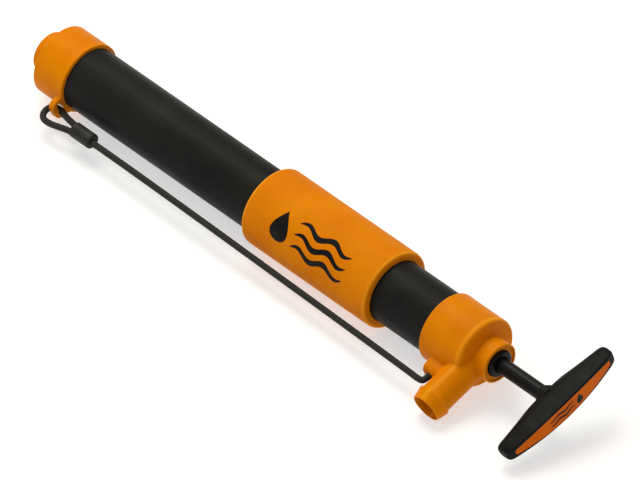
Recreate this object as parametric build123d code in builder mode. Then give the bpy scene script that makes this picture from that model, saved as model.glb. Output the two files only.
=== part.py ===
"""Manual bilge pump: a hand-drawn lift pump with a foam float, a side spout and a tethered foot cap.

Millimetres. +X runs along the barrel from the foot inlet to the T-handle, and the origin is the
centre of the inlet mouth. The pump lies on its side on a level surface, held by its float and by the
tip of its spout. SPOUT is the direction of the spout, tilted below the horizontal by the angle that
puts that tip level with the underside of the float, and UP is square to it and to the barrel.
The plunger is shown pushed fully in.
"""

import os
from math import asin, atan2, cos, degrees, hypot, radians, sin, tan

from build123d import *

# ---- Driving dimensions -------------------------------------------------------------------------
# Barrel
TUBE_R = 25.0
BORE_R = 23.0
FIT = 0.05  # slack of a socket on the tube
RUN = 0.08  # radial clearance of a running fit
OVERRUN = 1.0  # how far a cutter runs past the face that it opens
GAP = 0.2  # rest gap between faces of pieces that move apart

# Foot cap, along X
CAP_R = 27.9
BOSS_R = 16.0
BOSS_END = 13.3
FOOT_RIM = 43.0
RIM_EDGE_R = 0.9
EDGE_CUT = 0.3
BOSS_ROOT = 0.8
INLET_R = 13.0
INLET_LENGTH = 9.0
PLENUM_R = 14.5
SEAT_R = 21.0
SEAT_BOTTOM = 16.0
SEAT_TOP = 19.0
GASKET_THICK = 1.5
STRAINER_THICK = 3.0
STRAINER_SLOTS = 5
STRAINER_PITCH = 4.6
STRAINER_SLOT = 3.0
STRAINER_RIB = 1.6
STRAINER_MARGIN = 1.2

# Leash ears: a flat-sided lug on each cap, on the spout's side of the barrel
EAR_THICK = 4.6
EAR_OUT = 37.1
EAR_TOP = 6.8
EAR_BOTTOM = -12.6
EAR_TOP_R = 6.0
EAR_BOTTOM_R = 8.0
EAR_ROOT_R = 6.5
SLOT_CORNERS = ((4.4, 29.4), (3.2, 33.0), (-10.4, 32.8), (-9.8, 26.2))
SLOT_CORNER_R = 1.6
LUG_START = 437.5
LUG_END = 456.0
LUG_OUT = 37.8
LUG_TOP = 6.2
LUG_BOTTOM = -11.0
LUG_CORNER_R = 5.5
STOP_POCKET_MIDDLE = 31.9
STOP_POCKET_WIDE = 9.0
STOP_POCKET_DEEP = 5.8

# Head cap, along X
HEAD_RIM = 424.6
HEAD_SHOULDER = 446.6
HEAD_CHAMBER_END = 461.9
HEAD_END = 465.4
HEAD_EDGE_R = 3.0
NECK_R = 16.0
NECK_END = 479.8
NECK_ROOT_R = 1.5
NECK_EDGE_CUT = 0.5
NECK_CHAMBER_R = 13.0
GLAND_FLOOR = 468.0
GLAND_POCKET = 470.0
GLAND_R = 9.0
GLAND_HOLE_R = 6.6
LIP_R = 14.5
LIP_FLOOR = 478.4
SEAL_THICK = 2.0
# Rounded front of the rod bush, as (x, radius) from its flange to its hole
BUSH_FRONT = ((479.8, 10.9), (480.9, 10.5), (481.6, 9.2), (481.6, 6.9), (481.1, 6.08))

# Spout, measured out from the barrel's axis
SPOUT_X = 462.1
SPOUT_R = 12.5
SPOUT_BORE_R = 10.9
SPOUT_START = 5.0
SPOUT_BORE_START = 26.0
THROAT_R = 10.2
THROAT_START = 10.0
BARB_FOOT = 49.3
BARB_CREST = 51.2
BARB_R = 13.9
SPOUT_OUT = 60.1
MOUTH_R = 11.9
MOUTH_CUT = 0.4

# Float
FLOAT_R = 31.5
FLOAT_START = 239.0
FLOAT_END = 369.8
FLOAT_EDGE_R = 3.0

# Plunger, pushed in
ROD_R = 6.0
ROD_BORE_R = 4.0
ROD_START = 45.2
ROD_END = 537.0
STROKE = 390.0
PLATE_R = 22.3
PLATE_BOTTOM = 36.0
CUP_BOTTOM = 39.5
CUP_FLANGE = 41.5
CUP_LIP = 48.0
CUP_HUB_R = 15.5
CUP_LIP_R = 21.1
PLATE_TOP = 45.0
PORT_RING_R = 10.5
PORT_R = 2.8
PORT_COUNT = 6
PISTON_FLAP_THICK = 1.6
PISTON_FLAP_LIFT = 3.0
BUMPER_R = 11.0
BUMPER_CUT = 2.0
CUP_LIP_THICK = 1.0
PLATE_CLEAR = 0.2
LOWER_PLUG_LONG = 20.0
UPPER_PLUG_LONG = 21.0
WASHER_R = 7.0
WASHER_THICK = 1.0
PISTON_SCREW_R = 2.5
PISTON_SCREW_DEEP = 16.0
PISTON_SCREW_HEAD = 3.4

# Foot valve
FOOT_PORT_RING_R = 9.5
FOOT_PORT_R = 3.4
FOOT_FLAP_R = 15.0
FOOT_FLAP_THICK = 2.0
FOOT_FLAP_LIFT = 4.0
PIN_R = 2.0
PIN_FOOT_R = 3.5
PIN_FOOT_THICK = 1.5
PIN_HEAD_R = 5.5
PIN_HEAD_TOP_R = 4.2
PIN_HEAD_SIDE = 1.2
PIN_HEAD_THICK = 2.2

# T-handle: crowned front face, rounded back, tapering to its tips
HANDLE_FRONT = 550.0
HANDLE_CROWN_R = 290.0
# The bar is level with the spout but for this turn about the rod
HANDLE_TURN = 1.0
COLLAR = ((524.2, 6.9), (525.2, 7.2), (527.4, 8.6))
COLLAR_ROOT = 531.4
INSERT_THICK = 2.0
INSERT_SUNK = 0.1  # the inlay lies this far below the grip's face
INSERT_HALF_LONG = 49.0
INSERT_HALF_WIDE = 7.15
INSERT_END_HALF = 2.45
SCREW_SEAT = 541.5
SCREW_R = 2.2
SCREW_HEAD_R = 4.6
SCREW_LONG = 17.0
SCREW_HEAD_SIDE = 2.0
SCREW_HEAD_THICK = 3.0
SCREW_HEAD_CUT = 1.2
SCREW_HEAD_CLEAR = 0.2
ROD_SOCKET = 20.0
INSERT_CORNER_R = 1.8
GRIP_MIDDLE_SHARE = 0.45
GRIP_FACE_CUT = 0.8
GRIP_FACE_STEP = 0.3

# Leash: shock cord from the head lug to the slot in the foot ear
CORD_R = 2.5
LEASH_X = 444.2
FERRULE_R = 6.0
FERRULE_START = 67.1
FERRULE_END = 86.8
FERRULE_AXIS = 38.5
STRAND_PITCH = 5.2
LEASH_BEND_R = 5.0
STOP_R = 4.0
STOP_LONG = 4.0
FERRULE_MOUTH = 11.0
FERRULE_MOUTH_CUT = 0.4
FERRULE_END_R = 1.5
# Corners of the cord's route, as (along the barrel, out along SPOUT, along UP)
LEASH_ROUTE = [
    (LEASH_X, 30.6, 0.0),
    (LEASH_X, 45.2, 0.0),
    (424.0, 44.1, 0.0),
    (83.0, 38.4, 0.0),
    (74.0, 41.1, 0.0),
    (65.0, 41.6, 0.0),
    (55.0, 44.0, -0.2),
    (46.0, 45.9, -0.8),
    (38.6, 45.1, -1.6),
    (34.9, 41.2, -2.2),
    (34.2, 36.2, -2.8),
    (35.8, 31.8, -4.2),
    (40.7, 30.2, -5.6),
    (47.4, 32.2, -5.2),
    (56.0, 34.2, -2.6),
    (66.0, 35.9, -0.3),
    (76.0, 35.8, 0.0),
]

# ---- Directions ---------------------------------------------------------------------------------
# Tilt that makes the underside of the spout's mouth level with the underside of the float
SPOUT_TILT = degrees(asin(FLOAT_R / hypot(SPOUT_OUT, MOUTH_R)) - atan2(MOUTH_R, SPOUT_OUT))
SPOUT = (0.0, -cos(radians(SPOUT_TILT)), -sin(radians(SPOUT_TILT)))
UP = (0.0, -sin(radians(SPOUT_TILT)), cos(radians(SPOUT_TILT)))
DOWN = (0.0, -UP[1], -UP[2])
BAR_TILT = SPOUT_TILT - HANDLE_TURN
BAR = (0.0, -cos(radians(BAR_TILT)), -sin(radians(BAR_TILT)))
BAR_UP = (0.0, -sin(radians(BAR_TILT)), cos(radians(BAR_TILT)))

# Side plane through the axis and the spout, in (along the barrel, out along SPOUT)
SIDE = Plane(origin=(0, 0, 0), x_dir=(1, 0, 0), z_dir=DOWN)
# Side plane of the spout, in (out along SPOUT, along the barrel from the spout's axis)
SPOUT_SIDE = Plane(origin=(SPOUT_X, 0, 0), x_dir=SPOUT, z_dir=UP)
SPOUT_AXIS = Axis((SPOUT_X, 0, 0), SPOUT)


def station(x):
    """Cross plane of the barrel at x, in (along UP, out along SPOUT), facing the handle."""
    return Plane(origin=(x, 0, 0), x_dir=UP, z_dir=(1, 0, 0))


def ring(start, end, outer_r, inner_r=0.0):
    """Plain round disc or ring on the barrel's axis, from start to end."""
    with BuildPart() as made:
        with BuildSketch(station(start)):
            Circle(outer_r)
            if inner_r > 0:
                Circle(inner_r, mode=Mode.SUBTRACT)
        extrude(amount=end - start)
    return made


def turned(*profile):
    """Solid of revolution about the barrel's axis from corners given as (x, radius)."""
    with BuildPart() as made:
        with BuildSketch(SIDE):
            with BuildLine():
                Polyline(*profile, close=True)
            make_face()
        revolve(axis=Axis.X)
    return made


def place(along, out, up):
    """Point from its distances along the barrel, out along SPOUT and along UP."""
    return Vector(along, 0, 0) + Vector(*SPOUT) * out + Vector(*UP) * up


def lug_profile(top, bottom, out, top_r, bottom_r, root=18.0):
    """Face of a leash ear across the barrel, with its two outer corners rounded."""
    with BuildSketch() as made:
        with BuildLine():
            Polyline((top, root), (top, out), (bottom, out), (bottom, root), close=True)
        make_face()
        fillet(made.vertices().group_by(Axis.Y)[-1].sort_by(Axis.X)[-1], top_r)
        fillet(made.vertices().sort_by(Axis.X).group_by(Axis.X)[0].sort_by(Axis.Y)[-1], bottom_r)
    return made.sketch


pieces = {}

# ---- Barrel and float ---------------------------------------------------------------------------
tube_start = SEAT_TOP + GASKET_THICK
tube_end = HEAD_SHOULDER - GASKET_THICK
pieces["barrel_tube"] = ring(tube_start, tube_end, TUBE_R, BORE_R)
pieces["foot_gasket"] = ring(SEAT_TOP, tube_start, TUBE_R, SEAT_R)
pieces["head_gasket"] = ring(tube_end, HEAD_SHOULDER, TUBE_R, BORE_R)

with BuildPart() as float_sleeve:
    with BuildSketch(station(FLOAT_START)):
        Circle(FLOAT_R)
        Circle(TUBE_R, mode=Mode.SUBTRACT)
    extrude(amount=FLOAT_END - FLOAT_START)
    outer_edges = float_sleeve.edges().filter_by(GeomType.CIRCLE).group_by(SortBy.RADIUS)[-1]
    fillet(outer_edges, FLOAT_EDGE_R)
pieces["float_sleeve"] = float_sleeve

# ---- Foot cap and foot valve --------------------------------------------------------------------
ear_start = FOOT_RIM - EAR_THICK
foot_outside = turned(
    (0, 0),
    (0, BOSS_R - EDGE_CUT),
    (EDGE_CUT, BOSS_R),
    (BOSS_END - BOSS_ROOT, BOSS_R),
    (BOSS_END, BOSS_R + BOSS_ROOT),
    (BOSS_END, CAP_R - EDGE_CUT),
    (BOSS_END + EDGE_CUT, CAP_R),
    (ear_start, CAP_R),
    (ear_start, 0),
)
foot_inside = turned(
    (-OVERRUN, 0),
    (-OVERRUN, INLET_R),
    (INLET_LENGTH, INLET_R),
    (INLET_LENGTH, PLENUM_R),
    (SEAT_BOTTOM, PLENUM_R),
    (SEAT_BOTTOM, SEAT_R),
    (SEAT_TOP, SEAT_R),
    (SEAT_TOP, TUBE_R + FIT),
    (FOOT_RIM + OVERRUN, TUBE_R + FIT),
    (FOOT_RIM + OVERRUN, 0),
)

with BuildPart() as foot_cap:
    add(foot_outside.part)
    with BuildSketch(station(ear_start)) as ear:
        Circle(CAP_R)
        add(lug_profile(EAR_TOP, EAR_BOTTOM, EAR_OUT, EAR_TOP_R, EAR_BOTTOM_R))
        # The ear runs into the cap in a hollow curve on its lower side
        fillet(ear.vertices().sort_by(Axis.X)[0], EAR_ROOT_R)
    extrude(amount=EAR_THICK)
    rim = foot_cap.faces().sort_by(Axis.X)[-1].outer_wire().edges()
    fillet(rim, RIM_EDGE_R)
    # Slot for the leash, wider towards its lower end
    with BuildSketch(station(ear_start)) as slot:
        with BuildLine():
            Polyline(*SLOT_CORNERS, close=True)
        make_face()
        fillet(slot.vertices(), SLOT_CORNER_R)
    extrude(amount=EAR_THICK + OVERRUN, mode=Mode.SUBTRACT)
    add(foot_inside.part, mode=Mode.SUBTRACT)
pieces["foot_cap"] = foot_cap

with BuildPart() as inlet_strainer:
    with BuildSketch(station(INLET_LENGTH)):
        Circle(PLENUM_R)
    extrude(amount=STRAINER_THICK)
    with BuildSketch(station(INLET_LENGTH)):
        with GridLocations(STRAINER_PITCH, 0, STRAINER_SLOTS, 1):
            Rectangle(STRAINER_SLOT, 2 * INLET_R)
        Rectangle(2 * INLET_R, STRAINER_RIB, mode=Mode.SUBTRACT)
        Circle(INLET_R - STRAINER_MARGIN, mode=Mode.INTERSECT)
    extrude(amount=STRAINER_THICK, mode=Mode.SUBTRACT)
pieces["inlet_strainer"] = inlet_strainer

with BuildPart() as foot_valve_seat:
    with BuildSketch(station(SEAT_BOTTOM)):
        Circle(SEAT_R)
        Circle(PIN_R, mode=Mode.SUBTRACT)
        with PolarLocations(FOOT_PORT_RING_R, PORT_COUNT):
            Circle(FOOT_PORT_R, mode=Mode.SUBTRACT)
    extrude(amount=SEAT_TOP - SEAT_BOTTOM)
pieces["foot_valve_seat"] = foot_valve_seat

flap_top = SEAT_TOP + GAP + FOOT_FLAP_THICK
pin_head = flap_top + FOOT_FLAP_LIFT + GAP
pieces["foot_valve_flap"] = ring(SEAT_TOP + GAP, flap_top, FOOT_FLAP_R, PIN_R + RUN)
pieces["foot_valve_pin"] = turned(
    (SEAT_BOTTOM - PIN_FOOT_THICK, 0),
    (SEAT_BOTTOM - PIN_FOOT_THICK, PIN_FOOT_R),
    (SEAT_BOTTOM, PIN_FOOT_R),
    (SEAT_BOTTOM, PIN_R),
    (pin_head, PIN_R),
    (pin_head, PIN_HEAD_R),
    (pin_head + PIN_HEAD_SIDE, PIN_HEAD_R),
    (pin_head + PIN_HEAD_THICK, PIN_HEAD_TOP_R),
    (pin_head + PIN_HEAD_THICK, 0),
)

# ---- Head cap, spout and rod gland --------------------------------------------------------------
head_inside = turned(
    (HEAD_RIM - OVERRUN, 0),
    (HEAD_RIM - OVERRUN, TUBE_R + FIT),
    (HEAD_SHOULDER, TUBE_R + FIT),
    (HEAD_SHOULDER, BORE_R),
    (HEAD_CHAMBER_END, BORE_R),
    (HEAD_CHAMBER_END, NECK_CHAMBER_R),
    (GLAND_FLOOR, NECK_CHAMBER_R),
    (GLAND_FLOOR, GLAND_HOLE_R),
    (GLAND_POCKET, GLAND_HOLE_R),
    (GLAND_POCKET, GLAND_R),
    (LIP_FLOOR, GLAND_R),
    (LIP_FLOOR, LIP_R),
    (NECK_END + OVERRUN, LIP_R),
    (NECK_END + OVERRUN, 0),
)

with BuildPart() as head_cap:
    with BuildSketch(SIDE):
        with BuildLine():
            Polyline((HEAD_RIM, 0), (HEAD_RIM, CAP_R), (HEAD_END - HEAD_EDGE_R, CAP_R))
            RadiusArc(
                (HEAD_END - HEAD_EDGE_R, CAP_R), (HEAD_END, CAP_R - HEAD_EDGE_R), HEAD_EDGE_R
            )
            Line((HEAD_END, CAP_R - HEAD_EDGE_R), (HEAD_END, NECK_R + NECK_ROOT_R))
            RadiusArc(
                (HEAD_END, NECK_R + NECK_ROOT_R), (HEAD_END + NECK_ROOT_R, NECK_R), -NECK_ROOT_R
            )
            Polyline(
                (HEAD_END + NECK_ROOT_R, NECK_R),
                (NECK_END - NECK_EDGE_CUT, NECK_R),
                (NECK_END, NECK_R - NECK_EDGE_CUT),
                (NECK_END, 0),
                (HEAD_RIM, 0),
            )
        make_face()
    revolve(axis=Axis.X)
    with BuildSketch(SPOUT_SIDE):
        with BuildLine():
            Polyline(
                (SPOUT_START, 0),
                (SPOUT_START, SPOUT_R),
                (BARB_FOOT, SPOUT_R),
                (BARB_CREST, BARB_R),
                (SPOUT_OUT - MOUTH_CUT, MOUTH_R),
                (SPOUT_OUT, MOUTH_R - MOUTH_CUT),
                (SPOUT_OUT, 0),
                close=True,
            )
        make_face()
    revolve(axis=SPOUT_AXIS)
    with BuildSketch(station(LUG_START)):
        add(lug_profile(LUG_TOP, LUG_BOTTOM, LUG_OUT, LUG_CORNER_R, LUG_CORNER_R))
    extrude(amount=LUG_END - LUG_START)
    add(head_inside.part, mode=Mode.SUBTRACT)
    # Throat of the spout, from the chamber beside the gland, and its wider bore out to the mouth
    with BuildSketch(Plane(place(SPOUT_X, THROAT_START, 0), z_dir=SPOUT)):
        Circle(THROAT_R)
    extrude(amount=SPOUT_BORE_START - THROAT_START + OVERRUN, mode=Mode.SUBTRACT)
    with BuildSketch(Plane(place(SPOUT_X, SPOUT_BORE_START, 0), z_dir=SPOUT)):
        Circle(SPOUT_BORE_R)
    extrude(amount=SPOUT_OUT - SPOUT_BORE_START + OVERRUN, mode=Mode.SUBTRACT)
    # Pocket for the leash stop, open towards the foot, and the hole that the cord leaves by
    with BuildSketch(station(LUG_START)):
        with Locations((0, STOP_POCKET_MIDDLE)):
            Rectangle(STOP_POCKET_WIDE, STOP_POCKET_DEEP)
    extrude(amount=LEASH_X + STOP_POCKET_WIDE / 2 - LUG_START, mode=Mode.SUBTRACT)
    with BuildSketch(Plane(place(LEASH_X, STOP_POCKET_MIDDLE, 0), z_dir=SPOUT)):
        Circle(CORD_R)
    extrude(amount=LUG_OUT - STOP_POCKET_MIDDLE + OVERRUN, mode=Mode.SUBTRACT)
pieces["head_cap"] = head_cap

pieces["rod_seal"] = ring(GLAND_POCKET, GLAND_POCKET + SEAL_THICK, GLAND_R, ROD_R + RUN)
pieces["rod_bush"] = turned(
    (GLAND_POCKET + SEAL_THICK, ROD_R + RUN),
    (GLAND_POCKET + SEAL_THICK, GLAND_R),
    (LIP_FLOOR, GLAND_R),
    (LIP_FLOOR, BUSH_FRONT[0][1]),
    *BUSH_FRONT,
)

# ---- Piston -------------------------------------------------------------------------------------
with BuildPart() as piston_lower_plate:
    with BuildSketch(station(PLATE_BOTTOM)):
        Circle(PLATE_R)
        Circle(PISTON_SCREW_R + RUN, mode=Mode.SUBTRACT)
        with PolarLocations(PORT_RING_R, PORT_COUNT):
            Circle(PORT_R, mode=Mode.SUBTRACT)
    extrude(amount=CUP_BOTTOM - PLATE_BOTTOM)
pieces["piston_lower_plate"] = piston_lower_plate

with BuildPart() as piston_upper_plate:
    add(ring(CUP_BOTTOM, CUP_FLANGE, CUP_HUB_R).part)
    add(ring(CUP_FLANGE, PLATE_TOP, CUP_LIP_R - PLATE_CLEAR).part)
    with BuildSketch(station(CUP_BOTTOM)):
        Circle(PISTON_SCREW_R + RUN)
        with PolarLocations(PORT_RING_R, PORT_COUNT):
            Circle(PORT_R)
    extrude(amount=PLATE_TOP - CUP_BOTTOM, mode=Mode.SUBTRACT)
pieces["piston_upper_plate"] = piston_upper_plate

pieces["piston_cup_seal"] = turned(
    (CUP_BOTTOM, CUP_HUB_R),
    (CUP_BOTTOM, BORE_R - CUP_LIP_THICK),
    (CUP_BOTTOM + CUP_LIP_THICK, BORE_R - RUN),
    (CUP_LIP, BORE_R - RUN),
    (CUP_LIP, BORE_R - CUP_LIP_THICK),
    (CUP_FLANGE, CUP_LIP_R),
    (CUP_FLANGE, CUP_HUB_R),
)

piston_flap_start = PLATE_TOP + GAP
piston_flap_end = piston_flap_start + PISTON_FLAP_THICK
pieces["piston_valve_flap"] = ring(piston_flap_start, piston_flap_end, CUP_HUB_R, ROD_R + 2 * GAP)

# ---- Rod and what turns with it -----------------------------------------------------------------
pieces["piston_rod"] = ring(ROD_START, ROD_END, ROD_R, ROD_BORE_R)
pieces["rod_lower_plug"] = ring(ROD_START, ROD_START + LOWER_PLUG_LONG, ROD_BORE_R, PISTON_SCREW_R)
pieces["rod_upper_plug"] = ring(ROD_END - UPPER_PLUG_LONG, ROD_END, ROD_BORE_R, SCREW_R)
bumper_start = piston_flap_end + PISTON_FLAP_LIFT + GAP
bumper_end = GLAND_FLOOR - STROKE - GAP
pieces["stop_bumper"] = turned(
    (bumper_start, ROD_R),
    (bumper_start, BUMPER_R),
    (bumper_end - BUMPER_CUT, BUMPER_R),
    (bumper_end, BUMPER_R - BUMPER_CUT),
    (bumper_end, ROD_R),
)

washer_end = PLATE_BOTTOM - GAP
washer_start = washer_end - WASHER_THICK
pieces["piston_washer"] = ring(washer_start, washer_end, WASHER_R, PISTON_SCREW_R)
with BuildPart() as piston_screw:
    with BuildSketch(station(washer_start)):
        Circle(PISTON_SCREW_R)
    extrude(amount=ROD_START + PISTON_SCREW_DEEP - washer_start)
    with BuildSketch(station(washer_start)):
        RegularPolygon(SCREW_HEAD_R, 6)
    extrude(amount=-PISTON_SCREW_HEAD)
pieces["piston_screw"] = piston_screw

pieces["handle_screw"] = turned(
    (ROD_END - SCREW_LONG, 0),
    (ROD_END - SCREW_LONG, SCREW_R),
    (SCREW_SEAT, SCREW_R),
    (SCREW_SEAT, SCREW_HEAD_R),
    (SCREW_SEAT + SCREW_HEAD_SIDE, SCREW_HEAD_R),
    (SCREW_SEAT + SCREW_HEAD_THICK, SCREW_HEAD_R - SCREW_HEAD_CUT),
    (SCREW_SEAT + SCREW_HEAD_THICK, 0),
)

# ---- T-handle -----------------------------------------------------------------------------------
crown_centre = HANDLE_FRONT - HANDLE_CROWN_R


def crowned_block(outer_r):
    """Part of the crowned face inside the inlay's outline, from the inlay's floor out to outer_r."""
    with BuildPart() as made:
        with BuildSketch(Plane(origin=(0, 0, 0), x_dir=BAR, z_dir=BAR_UP)):
            with Locations((0, crown_centre)):
                Circle(outer_r)
                Circle(HANDLE_CROWN_R - INSERT_THICK, mode=Mode.SUBTRACT)
        extrude(amount=INSERT_HALF_WIDE + 2, both=True)
        face = Plane(origin=(HANDLE_FRONT - 10, 0, 0), x_dir=BAR_UP, z_dir=(1, 0, 0))
        with BuildSketch(face) as lens:
            with BuildLine():
                ThreePointArc(
                    (INSERT_END_HALF, -INSERT_HALF_LONG),
                    (INSERT_HALF_WIDE, 0),
                    (INSERT_END_HALF, INSERT_HALF_LONG),
                )
                Line((INSERT_END_HALF, INSERT_HALF_LONG), (-INSERT_END_HALF, INSERT_HALF_LONG))
                ThreePointArc(
                    (-INSERT_END_HALF, INSERT_HALF_LONG),
                    (-INSERT_HALF_WIDE, 0),
                    (-INSERT_END_HALF, -INSERT_HALF_LONG),
                )
                Line((-INSERT_END_HALF, -INSERT_HALF_LONG), (INSERT_END_HALF, -INSERT_HALF_LONG))
            make_face()
            fillet(lens.vertices(), INSERT_CORNER_R)
        extrude(amount=20, mode=Mode.INTERSECT)
    return made


handle_insert = crowned_block(HANDLE_CROWN_R - INSERT_SUNK)
pieces["handle_insert"] = handle_insert

# Grip sections from the middle to one tip:
# (out from the axis, half width of the body, back of the body, half width of the face, set-back)
GRIP_SECTIONS = [
    (0.0, 8.7, 525.4, 8.4, 0.0),
    (17.0, 8.5, 526.4, 8.0, 0.0),
    (28.0, 8.1, 528.1, 7.4, 0.0),
    (36.0, 7.6, 529.2, 6.8, 0.0),
    (43.0, 7.1, 530.1, 6.2, 0.0),
    (50.0, 6.6, 530.9, 5.6, 0.0),
    (53.6, 5.6, 531.9, 4.7, 0.6),
    (55.2, 3.8, 534.4, 3.0, 2.4),
]


def grip_section(out, half_body, back, half_face, set_back):
    """D-shaped section of the grip: flat crowned face to the front, half ellipse to the back."""
    face = crown_centre + (HANDLE_CROWN_R**2 - out**2) ** 0.5 - set_back
    middle = face - GRIP_MIDDLE_SHARE * (face - back)
    origin = (0.0, BAR[1] * out, BAR[2] * out)
    with BuildSketch(Plane(origin=origin, x_dir=(1, 0, 0), z_dir=BAR)) as made:
        with BuildLine():
            EllipticalCenterArc((middle, 0), middle - back, half_body, 90, arc_size=180)
            Polyline(
                (middle, -half_body),
                (face - GRIP_FACE_CUT, -half_face - GRIP_FACE_STEP),
                (face, -half_face + GRIP_FACE_CUT),
                (face, half_face - GRIP_FACE_CUT),
                (face - GRIP_FACE_CUT, half_face + GRIP_FACE_STEP),
                (middle, half_body),
            )
        make_face()
    return made.sketch


far_half = [(-out, *rest) for out, *rest in reversed(GRIP_SECTIONS[1:])]

with BuildPart() as handle_grip:
    loft(sections=[grip_section(*values) for values in far_half + GRIP_SECTIONS])
    collar = turned((COLLAR[0][0], 0), *COLLAR, (COLLAR_ROOT, COLLAR[-1][1]), (COLLAR_ROOT, 0))
    add(collar.part)
    add(crowned_block(HANDLE_CROWN_R + 3 * OVERRUN).part, mode=Mode.SUBTRACT)
    add(ring(SCREW_SEAT, HANDLE_FRONT, SCREW_HEAD_R + SCREW_HEAD_CLEAR).part, mode=Mode.SUBTRACT)
    add(ring(ROD_END - OVERRUN, SCREW_SEAT + OVERRUN, SCREW_R).part, mode=Mode.SUBTRACT)
    add(ring(ROD_END - ROD_SOCKET, ROD_END, ROD_R).part, mode=Mode.SUBTRACT)
pieces["handle_grip"] = handle_grip


# ---- Leash --------------------------------------------------------------------------------------
def bend_radii(route):
    """Radius of each corner's arc: as large as the shorter of its two runs allows."""
    radii = []
    for before, corner, after in zip(route, route[1:], route[2:]):
        arriving = corner - before
        leaving = after - corner
        turn = radians(arriving.get_angle(leaving))
        radii.append(0.45 * min(arriving.length, leaving.length) / tan(turn / 2))
    return radii


leash_route = [place(*corner) for corner in LEASH_ROUTE]
# The cord turns short as it leaves the lug, and everywhere else as gently as its runs allow
leash_radii = [LEASH_BEND_R, *bend_radii(leash_route)[1:]]

with BuildPart() as leash_cord:
    with BuildLine() as leash_path:
        FilletPolyline(*leash_route, radius=leash_radii)
    with BuildSketch(Plane(origin=leash_path.line @ 0, z_dir=leash_path.line % 0)):
        Circle(CORD_R)
    sweep()
pieces["leash_cord"] = leash_cord

with BuildPart() as leash_stop:
    with BuildSketch(Plane(leash_route[0], z_dir=SPOUT)):
        Circle(STOP_R)
        Circle(CORD_R, mode=Mode.SUBTRACT)
    extrude(amount=STOP_LONG)
pieces["leash_stop"] = leash_stop

ferrule_middle = FERRULE_START + FERRULE_MOUTH
with BuildPart() as leash_ferrule:
    with BuildSketch(Plane(place(FERRULE_START, FERRULE_AXIS, 0), x_dir=SPOUT, z_dir=(1, 0, 0))):
        Circle(FERRULE_R)
        SlotCenterToCenter(STRAND_PITCH, 2 * CORD_R, mode=Mode.SUBTRACT)
    extrude(amount=ferrule_middle - FERRULE_START)
    with BuildSketch(Plane(place(ferrule_middle, FERRULE_AXIS, 0), x_dir=SPOUT, z_dir=(1, 0, 0))):
        Circle(FERRULE_R)
        Circle(CORD_R, mode=Mode.SUBTRACT)
    extrude(amount=FERRULE_END - ferrule_middle)
    rims = leash_ferrule.edges().filter_by(GeomType.CIRCLE).group_by(SortBy.RADIUS)[-1]
    chamfer(rims.filter_by_position(Axis.X, FERRULE_START - 0.1, FERRULE_START + 0.1), FERRULE_MOUTH_CUT)
    rims = leash_ferrule.edges().filter_by(GeomType.CIRCLE).group_by(SortBy.RADIUS)[-1]
    fillet(rims.filter_by_position(Axis.X, FERRULE_END - 0.1, FERRULE_END + 0.1), FERRULE_END_R)
pieces["leash_ferrule"] = leash_ferrule

# ---- Export -------------------------------------------------------------------------------------
os.makedirs("parts", exist_ok=True)
for name, piece in pieces.items():
    piece.part.label = name
    export_step(piece.part, f"parts/{name}.step")
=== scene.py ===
from math import asin, atan2, cos, hypot, pi, radians, sin, sqrt

import bmesh
import bpy
import numpy as np
from mathutils import Matrix, Vector, noise


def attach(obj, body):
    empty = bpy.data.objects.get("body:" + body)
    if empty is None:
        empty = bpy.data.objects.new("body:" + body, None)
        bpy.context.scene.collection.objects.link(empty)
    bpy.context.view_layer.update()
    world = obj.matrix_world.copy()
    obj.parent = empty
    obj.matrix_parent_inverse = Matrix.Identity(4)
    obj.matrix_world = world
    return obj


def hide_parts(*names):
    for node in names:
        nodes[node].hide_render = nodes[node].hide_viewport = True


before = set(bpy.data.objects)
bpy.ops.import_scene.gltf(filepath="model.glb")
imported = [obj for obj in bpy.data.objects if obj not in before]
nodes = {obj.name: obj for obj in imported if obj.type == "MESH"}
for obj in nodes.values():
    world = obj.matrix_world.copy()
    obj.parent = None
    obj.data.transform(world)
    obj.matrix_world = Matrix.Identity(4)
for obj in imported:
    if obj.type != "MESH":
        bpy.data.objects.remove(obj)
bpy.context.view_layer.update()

scene = bpy.context.scene
MM = 0.001

# ---- Dimensions repeated from the CAD source, in millimetres -------------------------------------
TUBE_R = 25.0
CAP_R = 27.9
HEAD_END = 465.4
HEAD_EDGE_R = 3.0
SPOUT_OUT = 60.1
MOUTH_R = 11.9
FLOAT_R = 31.5
FLOAT_START = 239.0
FLOAT_END = 369.8
FLOAT_EDGE_R = 3.0
HANDLE_FRONT = 550.0
HANDLE_CROWN_R = 290.0
HANDLE_TURN = 1.0
INLAY_SINK = 0.1
CORD_R = 2.5

SPOUT_TILT = asin(FLOAT_R / hypot(SPOUT_OUT, MOUTH_R)) - atan2(MOUTH_R, SPOUT_OUT)
BAR_TILT = SPOUT_TILT - radians(HANDLE_TURN)
# Directions: along the barrel, out along the spout, square to both, and the same two of the T-bar
ALONG = Vector((1, 0, 0))
SPOUT = Vector((0, -cos(SPOUT_TILT), -sin(SPOUT_TILT)))
UP = Vector((0, -sin(SPOUT_TILT), cos(SPOUT_TILT)))
BAR = Vector((0, -cos(BAR_TILT), -sin(BAR_TILT)))
BAR_UP = Vector((0, -sin(BAR_TILT), cos(BAR_TILT)))


def place(along, out, up):
    """Point in metres from millimetres along the barrel, out along SPOUT and along UP."""
    return (ALONG * along + SPOUT * out + UP * up) * MM


# ---- Camera --------------------------------------------------------------------------------------
# A long lens, because the photograph shows next to no perspective
LENS = 1200.0
SENSOR = 36.0
VIEW_WIDTH = 463.54  # millimetres across the picture, at the pump
AZIMUTH = radians(46.866)
ELEVATION = radians(40.3315)
ROLL = radians(0.133)
AIM = place(290.98, 0.66, 0)
CAMERA_REACH = 100.0


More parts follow.
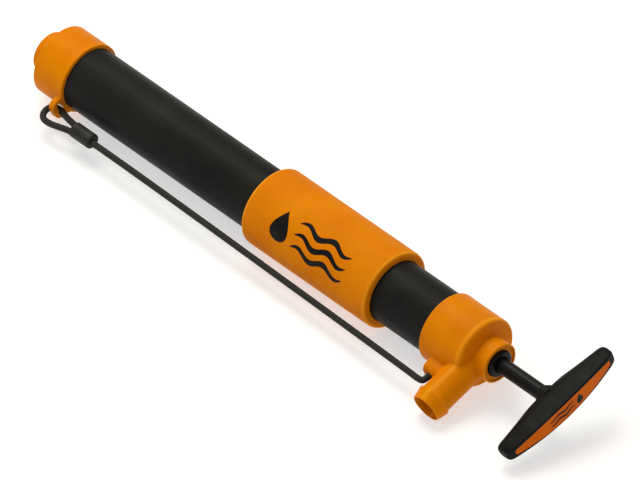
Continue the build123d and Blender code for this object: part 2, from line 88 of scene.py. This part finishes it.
def toward(azimuth, elevation):
    """Unit vector from the object towards an azimuth, 0 on the spout's side, and an elevation."""
    level = cos(elevation)
    return Vector((sin(azimuth) * level, -cos(azimuth) * level, sin(elevation)))


camera_data = bpy.data.cameras.new("camera")
camera_data.lens = LENS
camera_data.sensor_width = SENSOR
camera_data.clip_end = CAMERA_REACH
camera = bpy.data.objects.new("camera", camera_data)
scene.collection.objects.link(camera)
distance = VIEW_WIDTH * MM * LENS / SENSOR
camera.location = AIM + toward(AZIMUTH, ELEVATION) * distance
camera.rotation_euler = (
    Matrix.Rotation(AZIMUTH, 3, "Z")
    @ Matrix.Rotation(pi / 2 - ELEVATION, 3, "X")
    @ Matrix.Rotation(ROLL, 3, "Z")
).to_euler()
scene.camera = camera


# ---- Mesh helpers --------------------------------------------------------------------------------
def mesh_piece(name, points, faces, smooth=True):
    """New mesh object from points in metres."""
    mesh = bpy.data.meshes.new(name)
    mesh.from_pydata([tuple(p) for p in points], [], faces)
    mesh.validate()
    made = bmesh.new()
    made.from_mesh(mesh)
    bmesh.ops.recalc_face_normals(made, faces=made.faces)
    made.to_mesh(mesh)
    made.free()
    if smooth:
        mesh.shade_smooth()
    else:
        mesh.shade_flat()
    piece = bpy.data.objects.new(name, mesh)
    scene.collection.objects.link(piece)
    return piece


def grid_faces(rings, around, closed=False):
    """Quads between rings of points that go around, and back to the first ring if closed."""
    faces = []
    for i in range(rings if closed else rings - 1):
        for j in range(around):
            a = i * around + j
            b = i * around + (j + 1) % around
            c = (i + 1) % rings * around + (j + 1) % around
            d = (i + 1) % rings * around + j
            faces.append((a, b, c, d))
    return faces


# ---- Leash ---------------------------------------------------------------------------------------
# Control points of its line, as for place(): out of the lug, along the barrel, through the ear's
# slot and back into the ferrule
LEASH_ROUTE = [
    (444.2, 30.6, 0.0),
    (444.2, 42.3, 0.0),
    (441.3, 45.1, 0.0),
    (424.0, 44.1, 0.0),
    (83.0, 38.4, 0.0),
    (74.0, 41.1, 0.0),
    (65.0, 41.6, 0.0),
    (55.0, 44.0, -0.2),
    (46.0, 45.9, -0.8),
    (38.6, 45.1, -1.6),
    (34.9, 41.2, -2.2),
    (34.2, 36.2, -2.8),
    (35.8, 31.8, -4.2),
    (40.7, 30.2, -5.6),
    (47.4, 32.2, -5.2),
    (56.0, 34.2, -2.6),
    (66.0, 35.9, -0.3),
    (76.0, 35.8, 0.0),
]
LEASH_STEPS = 48

route_data = bpy.data.curves.new("leash_route", "CURVE")
route_data.dimensions = "3D"
route_data.resolution_u = LEASH_STEPS
spline = route_data.splines.new("NURBS")
spline.points.add(len(LEASH_ROUTE) - 1)
for point, corner in zip(spline.points, LEASH_ROUTE):
    point.co = (*place(*corner), 1)
spline.order_u = 3
spline.use_endpoint_u = True
route_object = bpy.data.objects.new("leash_route", route_data)
scene.collection.objects.link(route_object)
bpy.context.view_layer.update()
route_mesh = bpy.data.meshes.new_from_object(route_object)
route_line = np.array([v.co for v in route_mesh.vertices])
bpy.data.objects.remove(route_object)

# Braid, in millimetres: each yarn goes a quarter of the way round in one YARN_LENGTH
RING_STEP = 0.36
CORD_AROUND = 48
YARNS = 8
YARN_LENGTH = 7.6
YARN_RELIEF = 0.16
YARN_ROUNDNESS = 0.7
YARN_DIP = 0.4  # share of a yarn's height that it loses where it goes under


def resampled(line, step):
    """Points a step apart along a line, its ends included, and their distances along it."""
    gaps = np.linalg.norm(np.diff(line, axis=0), axis=1)
    run = np.concatenate([[0], np.cumsum(gaps)])
    along = np.linspace(0, run[-1], int(run[-1] / step) + 1)
    return np.stack([np.interp(along, run, line[:, k]) for k in range(3)], axis=1), along


def braided_cord(name, line):
    """Tube along the line whose skin is a plain braid of yarns, as real relief."""
    centres, along = resampled(line, RING_STEP * MM)
    yarns_per_metre = YARNS / 4 / (YARN_LENGTH * MM)
    tangents = np.gradient(centres, axis=0)
    tangents /= np.linalg.norm(tangents, axis=1)[:, None]
    side = np.array(UP)
    points = []
    for centre, tangent, run in zip(centres, tangents, along):
        side = side - tangent * (side @ tangent)
        side /= np.linalg.norm(side)
        third = np.cross(tangent, side)
        for k in range(CORD_AROUND):
            turn = k / CORD_AROUND
            first = turn * YARNS + run * yarns_per_metre
            second = turn * YARNS - run * yarns_per_metre
            over = (int(np.floor(first)) + int(np.floor(second))) % 2 == 0
            across = first % 1 if over else second % 1
            lengthwise = second % 1 if over else first % 1
            rise = 1 - YARN_DIP + YARN_DIP * sin(pi * lengthwise)
            crown = sin(pi * across) ** YARN_ROUNDNESS * rise
            radius = (CORD_R - YARN_RELIEF * (1 - crown)) * MM
            outward = cos(2 * pi * turn) * side + sin(2 * pi * turn) * third
            points.append(centre + radius * outward)
    faces = grid_faces(len(centres), CORD_AROUND)
    # A fan closes each end
    for first_ring, middle in ((0, centres[0]), (len(centres) - 1, centres[-1])):
        points.append(middle)
        for k in range(CORD_AROUND):
            base = first_ring * CORD_AROUND
            faces.append((base + k, base + (k + 1) % CORD_AROUND, len(points) - 1))
    piece = mesh_piece(name, points, faces)
    # The cord's material follows each yarn by millimetres along and yarns around
    yarn = piece.data.attributes.new("run_and_turn", "FLOAT_VECTOR", "POINT")
    runs = np.repeat(along, CORD_AROUND)
    turns = np.tile(np.arange(CORD_AROUND) / CORD_AROUND, len(centres))
    values = np.stack([runs / MM, turns * YARNS, np.zeros_like(runs)], axis=1)
    values = np.concatenate([values, np.zeros((2, 3))])
    yarn.data.foreach_set("vector", values.astype(np.float32).ravel())
    return piece, centres


leash, leash_centres = braided_cord("leash", route_line)
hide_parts("leash_cord")
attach(leash, "barrel")

# ---- Foam float ----------------------------------------------------------------------------------
FLOAT_BORE_R = TUBE_R + 0.1
SKIN_FROM_R = TUBE_R + 1.0
FLOAT_AROUND = 288
FLOAT_STEP = 1.6
FACE_RINGS = 6
EDGE_STEPS = 8
# Depths in millimetres, and how many waves or pits there are to a millimetre
SKIN_WAVE = 0.10
SKIN_WAVE_RATE = 0.055
SKIN_PIT = 0.05
SKIN_PIT_RATE = 0.42
SKIN_PIT_LEVEL = 0.25


def skin_depth(along, angle):
    """How far the float's skin lies below its full radius, from shallow waves and pits."""
    direction = SPOUT * cos(angle) + UP * sin(angle)
    spot = ALONG * along + direction * FLOAT_R
    wave = 0.5 + 0.5 * noise.noise(spot * SKIN_WAVE_RATE)
    pit = max(0.0, noise.noise(spot * SKIN_PIT_RATE) - SKIN_PIT_LEVEL)
    return SKIN_WAVE * wave + SKIN_PIT * pit


# Half section, as (along the barrel, radius): up the first face, over its edge, along the skin, and
# down the other end, which mirrors the first
outline = []
face_top = FLOAT_R - FLOAT_EDGE_R
for k in range(FACE_RINGS):
    share = k / (FACE_RINGS - 1)
    outline.append((FLOAT_START, FLOAT_BORE_R + share * (face_top - FLOAT_BORE_R)))
for k in range(1, EDGE_STEPS + 1):
    angle = k / EDGE_STEPS * pi / 2
    along = FLOAT_START + FLOAT_EDGE_R * (1 - cos(angle))
    outline.append((along, face_top + FLOAT_EDGE_R * sin(angle)))
first_end = list(outline)
skin_run = FLOAT_END - FLOAT_START - 2 * FLOAT_EDGE_R
steps = int(skin_run / FLOAT_STEP)
for k in range(1, steps):
    outline.append((FLOAT_START + FLOAT_EDGE_R + k / steps * skin_run, FLOAT_R))
for along, radius in reversed(first_end):
    outline.append((FLOAT_START + FLOAT_END - along, radius))

float_points = []
for along, radius in outline:
    for k in range(FLOAT_AROUND):
        angle = 2 * pi * k / FLOAT_AROUND
        direction = SPOUT * cos(angle) + UP * sin(angle)
        # The bore stays true, so that it doesn't dip into the tube
        sunk = skin_depth(along, angle) if radius > SKIN_FROM_R else 0
        float_points.append((ALONG * along + direction * (radius - sunk)) * MM)
float_faces = grid_faces(len(outline), FLOAT_AROUND, closed=True)
float_foam = mesh_piece("float_foam", float_points, float_faces)
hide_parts("float_sleeve")
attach(float_foam, "barrel")

# ---- Generic printed marks: a drop beside waves, on the float and on the handle's inlay ----------
PRINT_THICK = 0.08
FLOAT_MARK_X = 304.0
FLOAT_MARK_ANGLE = 56.0
WAVE_STEPS = 56
WAVE_TIP = 0.08  # share of its thickness that a wave keeps at its ends
WAVE_TAPER = 0.45
DROP_STEPS = 44
DROP_OPEN = 0.015  # share of the half turn left out at the drop's tip and at its foot
DROP_WIDTH = 0.49
DROP_POINT = 1.5


def on_float(s, t):
    """Point on the float's skin and its outward normal, from millimetres along and around it."""
    angle = radians(FLOAT_MARK_ANGLE) + t / FLOAT_R
    normal = SPOUT * cos(angle) + UP * sin(angle)
    along = FLOAT_MARK_X + s
    radius = FLOAT_R - skin_depth(along, angle)
    return ALONG * along + normal * radius, normal


def on_inlay(s, t):
    """Point on the inlay's crowned face and its normal, from millimetres along BAR and BAR_UP."""
    crown = HANDLE_FRONT - HANDLE_CROWN_R - INLAY_SINK + sqrt(HANDLE_CROWN_R**2 - s**2)
    return ALONG * crown + BAR * s + BAR_UP * t, ALONG


def wave_band(start, end, middle, height, length, thick):
    """Both edges of a wavy line that tapers to its ends."""
    edges = []
    for k in range(WAVE_STEPS + 1):
        share = k / WAVE_STEPS
        s = start + (end - start) * share
        t = middle + height * sin(2 * pi * (s - start) / length)
        half = thick / 2 * max(WAVE_TIP, sin(pi * share) ** WAVE_TAPER)
        edges.append(((s, t - half), (s, t + half)))
    return edges


def drop_band(centre, tall):
    """Both edges of a drop that stands on its round end."""
    edges = []
    for k in range(DROP_STEPS + 1):
        angle = pi * (DROP_OPEN + (1 - 2 * DROP_OPEN) * k / DROP_STEPS)
        half = DROP_WIDTH * tall * sin(angle) * sin(angle / 2) ** DROP_POINT
        t = tall / 2 * cos(angle)
        edges.append(((centre - half, t), (centre + half, t)))
    return edges


def printed(name, bands, surface, columns=4):
    """Thin printed layer, half sunk in a surface: a closed solid for each band, in one piece."""
    points = []
    faces = []
    for band in bands:
        base = len(points)
        ring = 2 * (columns + 1)
        for left, right in band:
            row = []
            for k in range(columns + 1):
                share = k / columns
                s = left[0] + (right[0] - left[0]) * share
                t = left[1] + (right[1] - left[1]) * share
                row.append(surface(s, t))
            points += [(spot + normal * PRINT_THICK) * MM for spot, normal in row]
            points += [(spot - normal * PRINT_THICK) * MM for spot, normal in reversed(row)]
        for i in range(len(band) - 1):
            for j in range(ring):
                a = base + i * ring + j
                b = base + i * ring + (j + 1) % ring
                faces.append((a, b, b + ring, a + ring))
        faces.append(tuple(base + j for j in range(ring)))
        last = base + (len(band) - 1) * ring
        faces.append(tuple(last + j for j in range(ring)))
    return mesh_piece(name, points, faces, smooth=False)


float_bands = [drop_band(-28.0, 25.0)]
for level in (9.5, 0.0, -9.5):
    float_bands.append(wave_band(-14.0, 40.0, level, 2.4, 27.0, 4.6))
float_mark = printed("float_mark", float_bands, on_float, columns=6)
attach(float_mark, "barrel")

inlay_bands = [drop_band(-13.5, 9.0)]
for level in (2.2, -2.2):
    inlay_bands.append(wave_band(-8.0, 17.0, level, 0.9, 12.5, 1.9))
handle_mark = printed("handle_mark", inlay_bands, on_inlay, columns=2)
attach(handle_mark, "plunger")


# ---- Materials -----------------------------------------------------------------------------------
def linear(red, green, blue):
    """Linear colour from 8-bit display values."""
    values = []
    for value in (red, green, blue):
        share = value / 255
        values.append(share / 12.92 if share <= 0.04045 else ((share + 0.055) / 1.055) ** 2.4)
    return (*values, 1.0)


# A Mix node's sockets for two colours and their blend
MIX_FIRST = 6
MIX_SECOND = 7
MIX_RESULT = 2
BEVEL_SAMPLES = 6
RIM_FADE = 1.4  # millimetres over which a painted rim highlight fades in


class Finish:
    """One procedural material, built up node by node round a Principled shader.

    Scales of noise and cells count per metre, and spans hold their values at both ends.
    """

    def __init__(self, name, **sockets):
        self.material = bpy.data.materials.new(name)
        self.material.use_nodes = True
        self.tree = self.material.node_tree
        self.shader = self.tree.nodes["Principled BSDF"]
        self.place = self.add("ShaderNodeTexCoord").outputs["Object"]
        self.normal = None
        for socket, value in sockets.items():
            self.shader.inputs[socket.replace("_", " ")].default_value = value

    def add(self, kind, **settings):
        """New node of a kind, with its settings."""
        node = self.tree.nodes.new(kind)
        for key, value in settings.items():
            setattr(node, key, value)
        return node

    def feed(self, socket, value):
        """Links an output to a socket, or sets the socket to a plain value."""
        if isinstance(value, bpy.types.NodeSocket):
            self.tree.links.new(value, socket)
        else:
            socket.default_value = value

    def noise(self, scale, detail=3.0, stretch=(1, 1, 1), distortion=0.0, source=None):
        """Noise of a scale, drawn out along each axis whose stretch is small."""
        mapping = self.add("ShaderNodeMapping")
        self.feed(mapping.inputs["Vector"], source or self.place)
        mapping.inputs["Scale"].default_value = stretch
        made = self.add("ShaderNodeTexNoise")
        self.feed(made.inputs["Vector"], mapping.outputs["Vector"])
        made.inputs["Scale"].default_value = scale
        made.inputs["Detail"].default_value = detail
        made.inputs["Distortion"].default_value = distortion
        return made.outputs["Fac"]

    def cells(self, scale):
        """Distance from the middle of the nearest cell."""
        made = self.add("ShaderNodeTexVoronoi", feature="F1")
        self.feed(made.inputs["Vector"], self.place)
        made.inputs["Scale"].default_value = scale
        return made.outputs["Distance"]

    def span(self, value, low, high, to_low=0.0, to_high=1.0):
        """Value stretched from low..high to to_low..to_high."""
        made = self.add("ShaderNodeMapRange")
        self.feed(made.inputs["Value"], value)
        made.inputs["From Min"].default_value = low
        made.inputs["From Max"].default_value = high
        made.inputs["To Min"].default_value = to_low
        made.inputs["To Max"].default_value = to_high
        return made.outputs["Result"]

    def blend(self, share, first, second):
        """Colour between two others."""
        made = self.add("ShaderNodeMix", data_type="RGBA")
        self.feed(made.inputs["Factor"], share)
        self.feed(made.inputs[MIX_FIRST], first)
        self.feed(made.inputs[MIX_SECOND], second)
        return made.outputs[MIX_RESULT]

    def maths(self, operation, first, second=0.0):
        """Result of one sum."""
        made = self.add("ShaderNodeMath", operation=operation)
        self.feed(made.inputs[0], first)
        self.feed(made.inputs[1], second)
        return made.outputs["Value"]

    def edges(self, radius):
        """1 at sharp edges and 0 on open faces, from how far a bevel turns the normal."""
        bevel = self.add("ShaderNodeBevel", samples=BEVEL_SAMPLES)
        bevel.inputs["Radius"].default_value = radius * MM
        surface = self.add("ShaderNodeNewGeometry").outputs["Normal"]
        agree = self.add("ShaderNodeVectorMath", operation="DOT_PRODUCT")
        self.feed(agree.inputs[0], bevel.outputs["Normal"])
        self.feed(agree.inputs[1], surface)
        return self.span(agree.outputs["Value"], 0.995, 0.86)

    def rim(self, start, end, inner):
        """1 on the outer edge of a round piece, midway between two places along the barrel: the
        mask of a painted rim highlight.
        """
        parts = self.add("ShaderNodeSeparateXYZ")
        self.feed(parts.inputs["Vector"], self.place)
        along, across, height = parts.outputs
        squares = self.maths("POWER", across, 2.0), self.maths("POWER", height, 2.0)
        radius = self.maths("SQRT", self.maths("ADD", *squares))
        middle = (start + end) / 2 * MM
        from_middle = self.maths("ABSOLUTE", self.maths("SUBTRACT", along, middle))
        band = self.span(from_middle, (end - start) / 2 * MM, 0.0)
        outer = self.span(radius, inner * MM, (inner + RIM_FADE) * MM)
        return self.maths("MULTIPLY", band, outer)

    def soften(self, radius):
        """Rounds sharp edges in the shading by a small radius in millimetres."""
        bevel = self.add("ShaderNodeBevel", samples=BEVEL_SAMPLES)
        bevel.inputs["Radius"].default_value = radius * MM
        self.normal = bevel.outputs["Normal"]

    def bump(self, height, depth, strength=1.0):
        """Relief of a given depth in millimetres, on top of what is there already."""
        made = self.add("ShaderNodeBump")
        made.inputs["Strength"].default_value = strength
        made.inputs["Distance"].default_value = depth * MM
        self.feed(made.inputs["Height"], height)
        if self.normal is not None:
            self.feed(made.inputs["Normal"], self.normal)
        self.normal = made.outputs["Normal"]

    def done(self, colour, roughness):
        """Joins colour, roughness and relief to the shader, and gives the material."""
        self.feed(self.shader.inputs["Base Color"], colour)
        self.feed(self.shader.inputs["Roughness"], roughness)
        if self.normal is not None:
            self.feed(self.shader.inputs["Normal"], self.normal)
        return self.material


def moulded(name, colours, rough, grain, edge_radius, shine=0.14):
    """Injection-moulded plastic: flow mottling, fine spark texture, paler edges as wear and painted
    highlight, light scuffs.
    """
    main, deep, pale = colours
    finish = Finish(name, Specular_IOR_Level=shine, IOR=1.2)
    finish.soften(0.35)
    mottle = finish.span(finish.noise(38, 4, distortion=0.6), 0.3, 0.7)
    colour = finish.blend(mottle, deep, main)
    scuff = finish.span(finish.noise(210, 5, stretch=(0.35, 1, 1)), 0.66, 0.78, 0.0, 0.22)
    colour = finish.blend(scuff, colour, pale)
    # Paler edges: partly wear, partly a painted highlight where rounded edges would catch the light
    edge_wear_and_highlight = finish.maths("MULTIPLY", finish.edges(edge_radius), 0.7)
    colour = finish.blend(edge_wear_and_highlight, colour, pale)
    # The head's rounded shoulder gets a painted highlight, a pale band where it would catch the
    # light
    painted_shoulder_highlight = finish.rim(HEAD_END - 2 * HEAD_EDGE_R, HEAD_END, CAP_R - HEAD_EDGE_R)
    colour = finish.blend(finish.maths("MULTIPLY", painted_shoulder_highlight, 0.4), colour, pale)
    roughness = finish.span(finish.noise(120, 4), 0.25, 0.75, *rough)
    roughness = finish.maths("ADD", roughness, finish.maths("MULTIPLY", scuff, 0.5))
    finish.bump(finish.noise(55, 2), 0.10, 0.5)
    finish.bump(finish.noise(grain, 2), 0.02, 0.6)
    return finish.done(colour, roughness)


def foam_finish(name, colours):
    """Closed-cell foam with a soft skin: fine cells, faint blotches, a painted highlight along the
    rounded end edges.
    """
    main, deep, pale = colours
    finish = Finish(name, Specular_IOR_Level=0.15, IOR=1.2, Sheen_Weight=0.01)
    blotch = finish.span(finish.noise(30, 5, distortion=0.4), 0.3, 0.7)
    colour = finish.blend(blotch, deep, main)
    pores = finish.span(finish.cells(1500), 0.05, 0.34)
    colour = finish.blend(finish.span(pores, 0, 1, 0.22, 0.0), colour, deep)
    speck = finish.span(finish.noise(420, 3), 0.68, 0.76, 0.0, 0.35)
    colour = finish.blend(speck, colour, pale)
    # Painted highlight: a pale band along each rounded end edge of the float
    for start in (FLOAT_START, FLOAT_END - FLOAT_EDGE_R):
        painted_rim_highlight = finish.rim(start, start + FLOAT_EDGE_R, FLOAT_R - FLOAT_EDGE_R)
        colour = finish.blend(finish.maths("MULTIPLY", painted_rim_highlight, 0.6), colour, pale)
    roughness = finish.span(finish.noise(160, 3), 0.3, 0.7, 0.52, 0.66)
    finish.bump(finish.noise(90, 3), 0.12, 0.5)
    finish.bump(pores, 0.05, 0.55)
    return finish.done(colour, roughness)


def print_finish(name):
    """Screen-printed ink: nearly black, slightly uneven, with pinholes."""
    finish = Finish(name, Specular_IOR_Level=0.1)
    pinhole = finish.span(finish.noise(1500, 2), 0.70, 0.76, 0.0, 0.5)
    colour = finish.blend(pinhole, linear(14, 13, 12), linear(80, 50, 14))
    roughness = finish.span(finish.noise(300, 3), 0.3, 0.7, 0.38, 0.55)
    finish.bump(finish.noise(1100, 2), 0.015, 0.6)
    return finish.done(colour, roughness)


def tube_finish(name):
    """Extruded black tube: fine lengthwise die lines, hairline scuffs and a satin skin."""
    finish = Finish(name, Specular_IOR_Level=0.3, IOR=1.2)
    finish.soften(0.3)
    die_lines = finish.noise(420, 3, stretch=(0.012, 1, 1))
    haze = finish.span(finish.noise(26, 4), 0.3, 0.7)
    colour = finish.blend(haze, linear(22, 22, 21), linear(31, 31, 29))
    streaks = finish.noise(90, 6, stretch=(0.12, 1, 1), distortion=0.3)
    scuff = finish.span(streaks, 0.66, 0.8, 0.0, 0.4)
    colour = finish.blend(scuff, colour, linear(56, 54, 51))
    edge_wear_and_highlight = finish.maths("MULTIPLY", finish.edges(0.5), 0.5)
    colour = finish.blend(edge_wear_and_highlight, colour, linear(80, 78, 74))
    roughness = finish.span(finish.noise(70, 4, stretch=(0.3, 1, 1)), 0.25, 0.75, 0.40, 0.52)
    finish.bump(die_lines, 0.02, 0.5)
    finish.bump(finish.noise(2400, 2), 0.008, 0.5)
    return finish.done(colour, roughness)


def rod_finish(name):
    """Smooth black rod: glossy, with faint lengthwise wear from the gland."""
    finish = Finish(name, Specular_IOR_Level=0.3, IOR=1.25)
    finish.soften(0.25)
    wear = finish.span(finish.noise(500, 4, stretch=(0.02, 1, 1)), 0.55, 0.8, 0.0, 0.6)
    colour = finish.blend(wear, linear(16, 16, 16), linear(44, 42, 40))
    roughness = finish.span(finish.noise(240, 4, stretch=(0.05, 1, 1)), 0.3, 0.7, 0.28, 0.40)
    finish.bump(finish.noise(700, 2, stretch=(0.03, 1, 1)), 0.01, 0.5)
    return finish.done(colour, roughness)


def rubber_finish(name, main, pale, grain):
    """Moulded rubber: matte, with a chalky bloom and a fine stipple."""
    finish = Finish(name, Specular_IOR_Level=0.25, Sheen_Weight=0.03)
    finish.soften(0.25)
    bloom = finish.span(finish.noise(60, 5), 0.45, 0.8, 0.0, 0.55)
    colour = finish.blend(bloom, main, pale)
    edge_wear_and_highlight = finish.maths("MULTIPLY", finish.edges(0.4), 0.4)
    colour = finish.blend(edge_wear_and_highlight, colour, pale)
    roughness = finish.span(finish.noise(180, 3), 0.3, 0.7, 0.48, 0.64)
    finish.bump(finish.noise(grain, 3), 0.03, 0.6)
    return finish.done(colour, roughness)


def steel_finish(name):
    """Stainless steel: turned rings with small scratches."""
    finish = Finish(name, Metallic=1.0)
    finish.soften(0.2)
    lines = finish.noise(1800, 3, stretch=(1, 0.15, 0.15))
    tone = finish.span(finish.noise(160, 4), 0.3, 0.7)
    colour = finish.blend(tone, linear(150, 150, 148), linear(196, 196, 192))
    roughness = finish.span(lines, 0.3, 0.7, 0.2, 0.4)
    finish.bump(lines, 0.006, 0.5)
    return finish.done(colour, roughness)


def cord_finish(name):
    """Braided polyester: fibres along each yarn, odd grey fleck."""
    finish = Finish(name, Specular_IOR_Level=0.15, Sheen_Weight=0.05, Sheen_Roughness=0.4)
    source = finish.add("ShaderNodeAttribute", attribute_name="run_and_turn").outputs["Vector"]
    fibre = finish.noise(6.0, 4, stretch=(0.7, 3.0, 1), source=source)
    shade = finish.span(fibre, 0.3, 0.7)
    colour = finish.blend(shade, linear(22, 22, 21), linear(50, 49, 46))
    spots = finish.noise(1.6, 2, stretch=(0.6, 1.2, 1), source=source)
    fleck = finish.span(spots, 0.66, 0.7, 0.0, 0.4)
    colour = finish.blend(fleck, colour, linear(84, 82, 78))
    roughness = finish.span(fibre, 0.3, 0.7, 0.5, 0.72)
    finish.bump(fibre, 0.04, 0.7)
    return finish.done(colour, roughness)


# Main, deeper and paler colour of each
ORANGE = linear(216, 126, 0), linear(207, 114, 0), linear(246, 166, 34)
INLAY_ORANGE = linear(203, 96, 0), linear(192, 87, 0), linear(206, 108, 14)
GRIP_BLACK = linear(27, 27, 26), linear(20, 20, 19), linear(60, 58, 54)
WHITE = linear(222, 220, 212), linear(206, 203, 192), linear(240, 238, 232)

# By the slot that the CAD record gives each node
finishes = {
    "cap_plastic": moulded("cap_orange", ORANGE, (0.34, 0.46), 1500, 0.8),
    "foam": foam_finish("foam_orange", ORANGE),
    "tube_plastic": tube_finish("tube_black"),
    "grip_plastic": moulded("grip_black", GRIP_BLACK, (0.42, 0.56), 1300, 0.6, shine=0.25),
    "inlay_plastic": moulded("inlay_orange", INLAY_ORANGE, (0.3, 0.4), 1800, 0.4),
    "rod_plastic": rod_finish("rod_black"),
    "rubber": rubber_finish("rubber_black", linear(24, 24, 23), linear(58, 57, 54), 900),
    "valve_rubber": rubber_finish("rubber_valve", linear(120, 44, 30), linear(160, 84, 62), 700),
    "white_plastic": moulded("plastic_white", WHITE, (0.34, 0.46), 1500, 0.5),
    "steel": steel_finish("steel"),
    "cord": cord_finish("cord_black"),
}


def dress(piece, finish):
    """Gives a piece one material, in every slot that it has."""
    if not piece.data.materials:
        piece.data.materials.append(finish)
    for slot in piece.material_slots:
        slot.material = finish


for node, piece in nodes.items():
    dress(piece, finishes[piece.material_slots[0].material.name.split(".")[0]])
dress(leash, finishes["cord"])
dress(float_foam, finishes["foam"])
dress(float_mark, print_finish("print_black"))
dress(handle_mark, float_mark.data.materials[0])

# ---- Floor and light -----------------------------------------------------------------------------
FLOOR_HALF = 4.0
FLOOR_GLOW = 0.55  # keeps the floor pale in the pump's shadow
KEY_COLOUR = (1.0, 0.995, 0.90)
FILL_COLOUR = (1.0, 0.96, 0.92)
WORLD_COLOUR = (1.0, 0.94, 0.90, 1.0)
WORLD_STRENGTH = 0.5
CENTRE = place(290, 0, 0)

floor_corners = [
    Vector((x * FLOOR_HALF, y * FLOOR_HALF, -FLOAT_R * MM))
    for x, y in ((-1, -1), (1, -1), (1, 1), (-1, 1))
]
floor = mesh_piece("floor", floor_corners, [(0, 1, 2, 3)])
floor_finish = Finish(
    "floor_pale",
    Specular_IOR_Level=0.1,
    Emission_Color=(1.0, 1.0, 1.0, 1.0),
    Emission_Strength=FLOOR_GLOW,
)
floor_grain = floor_finish.span(floor_finish.noise(9, 4), 0.3, 0.7)
floor_colour = floor_finish.blend(floor_grain, linear(186, 186, 186), linear(190, 190, 190))
dress(floor, floor_finish.done(floor_colour, 0.9))


def soft_light(name, azimuth, elevation, away, size, power, colour):
    """Square area light that faces the middle of the pump, from a direction in degrees."""
    back = toward(radians(azimuth), radians(elevation))
    data = bpy.data.lights.new(name, "AREA")
    data.size = size
    data.energy = power
    data.color = colour
    light = bpy.data.objects.new(name, data)
    scene.collection.objects.link(light)
    light.location = CENTRE + back * away
    light.rotation_mode = "QUATERNION"
    light.rotation_quaternion = (-back).to_track_quat("-Z", "Y")


soft_light("key", 250, 66, away=2.2, size=1.3, power=36, colour=KEY_COLOUR)
soft_light("fill", -30, 50, away=2.4, size=1.6, power=7, colour=FILL_COLOUR)

world = bpy.data.worlds.new("studio")
scene.world = world
world.use_nodes = True
backdrop = world.node_tree.nodes["Background"]
backdrop.inputs["Color"].default_value = WORLD_COLOUR
backdrop.inputs["Strength"].default_value = WORLD_STRENGTH
scene.view_settings.view_transform = "Standard"
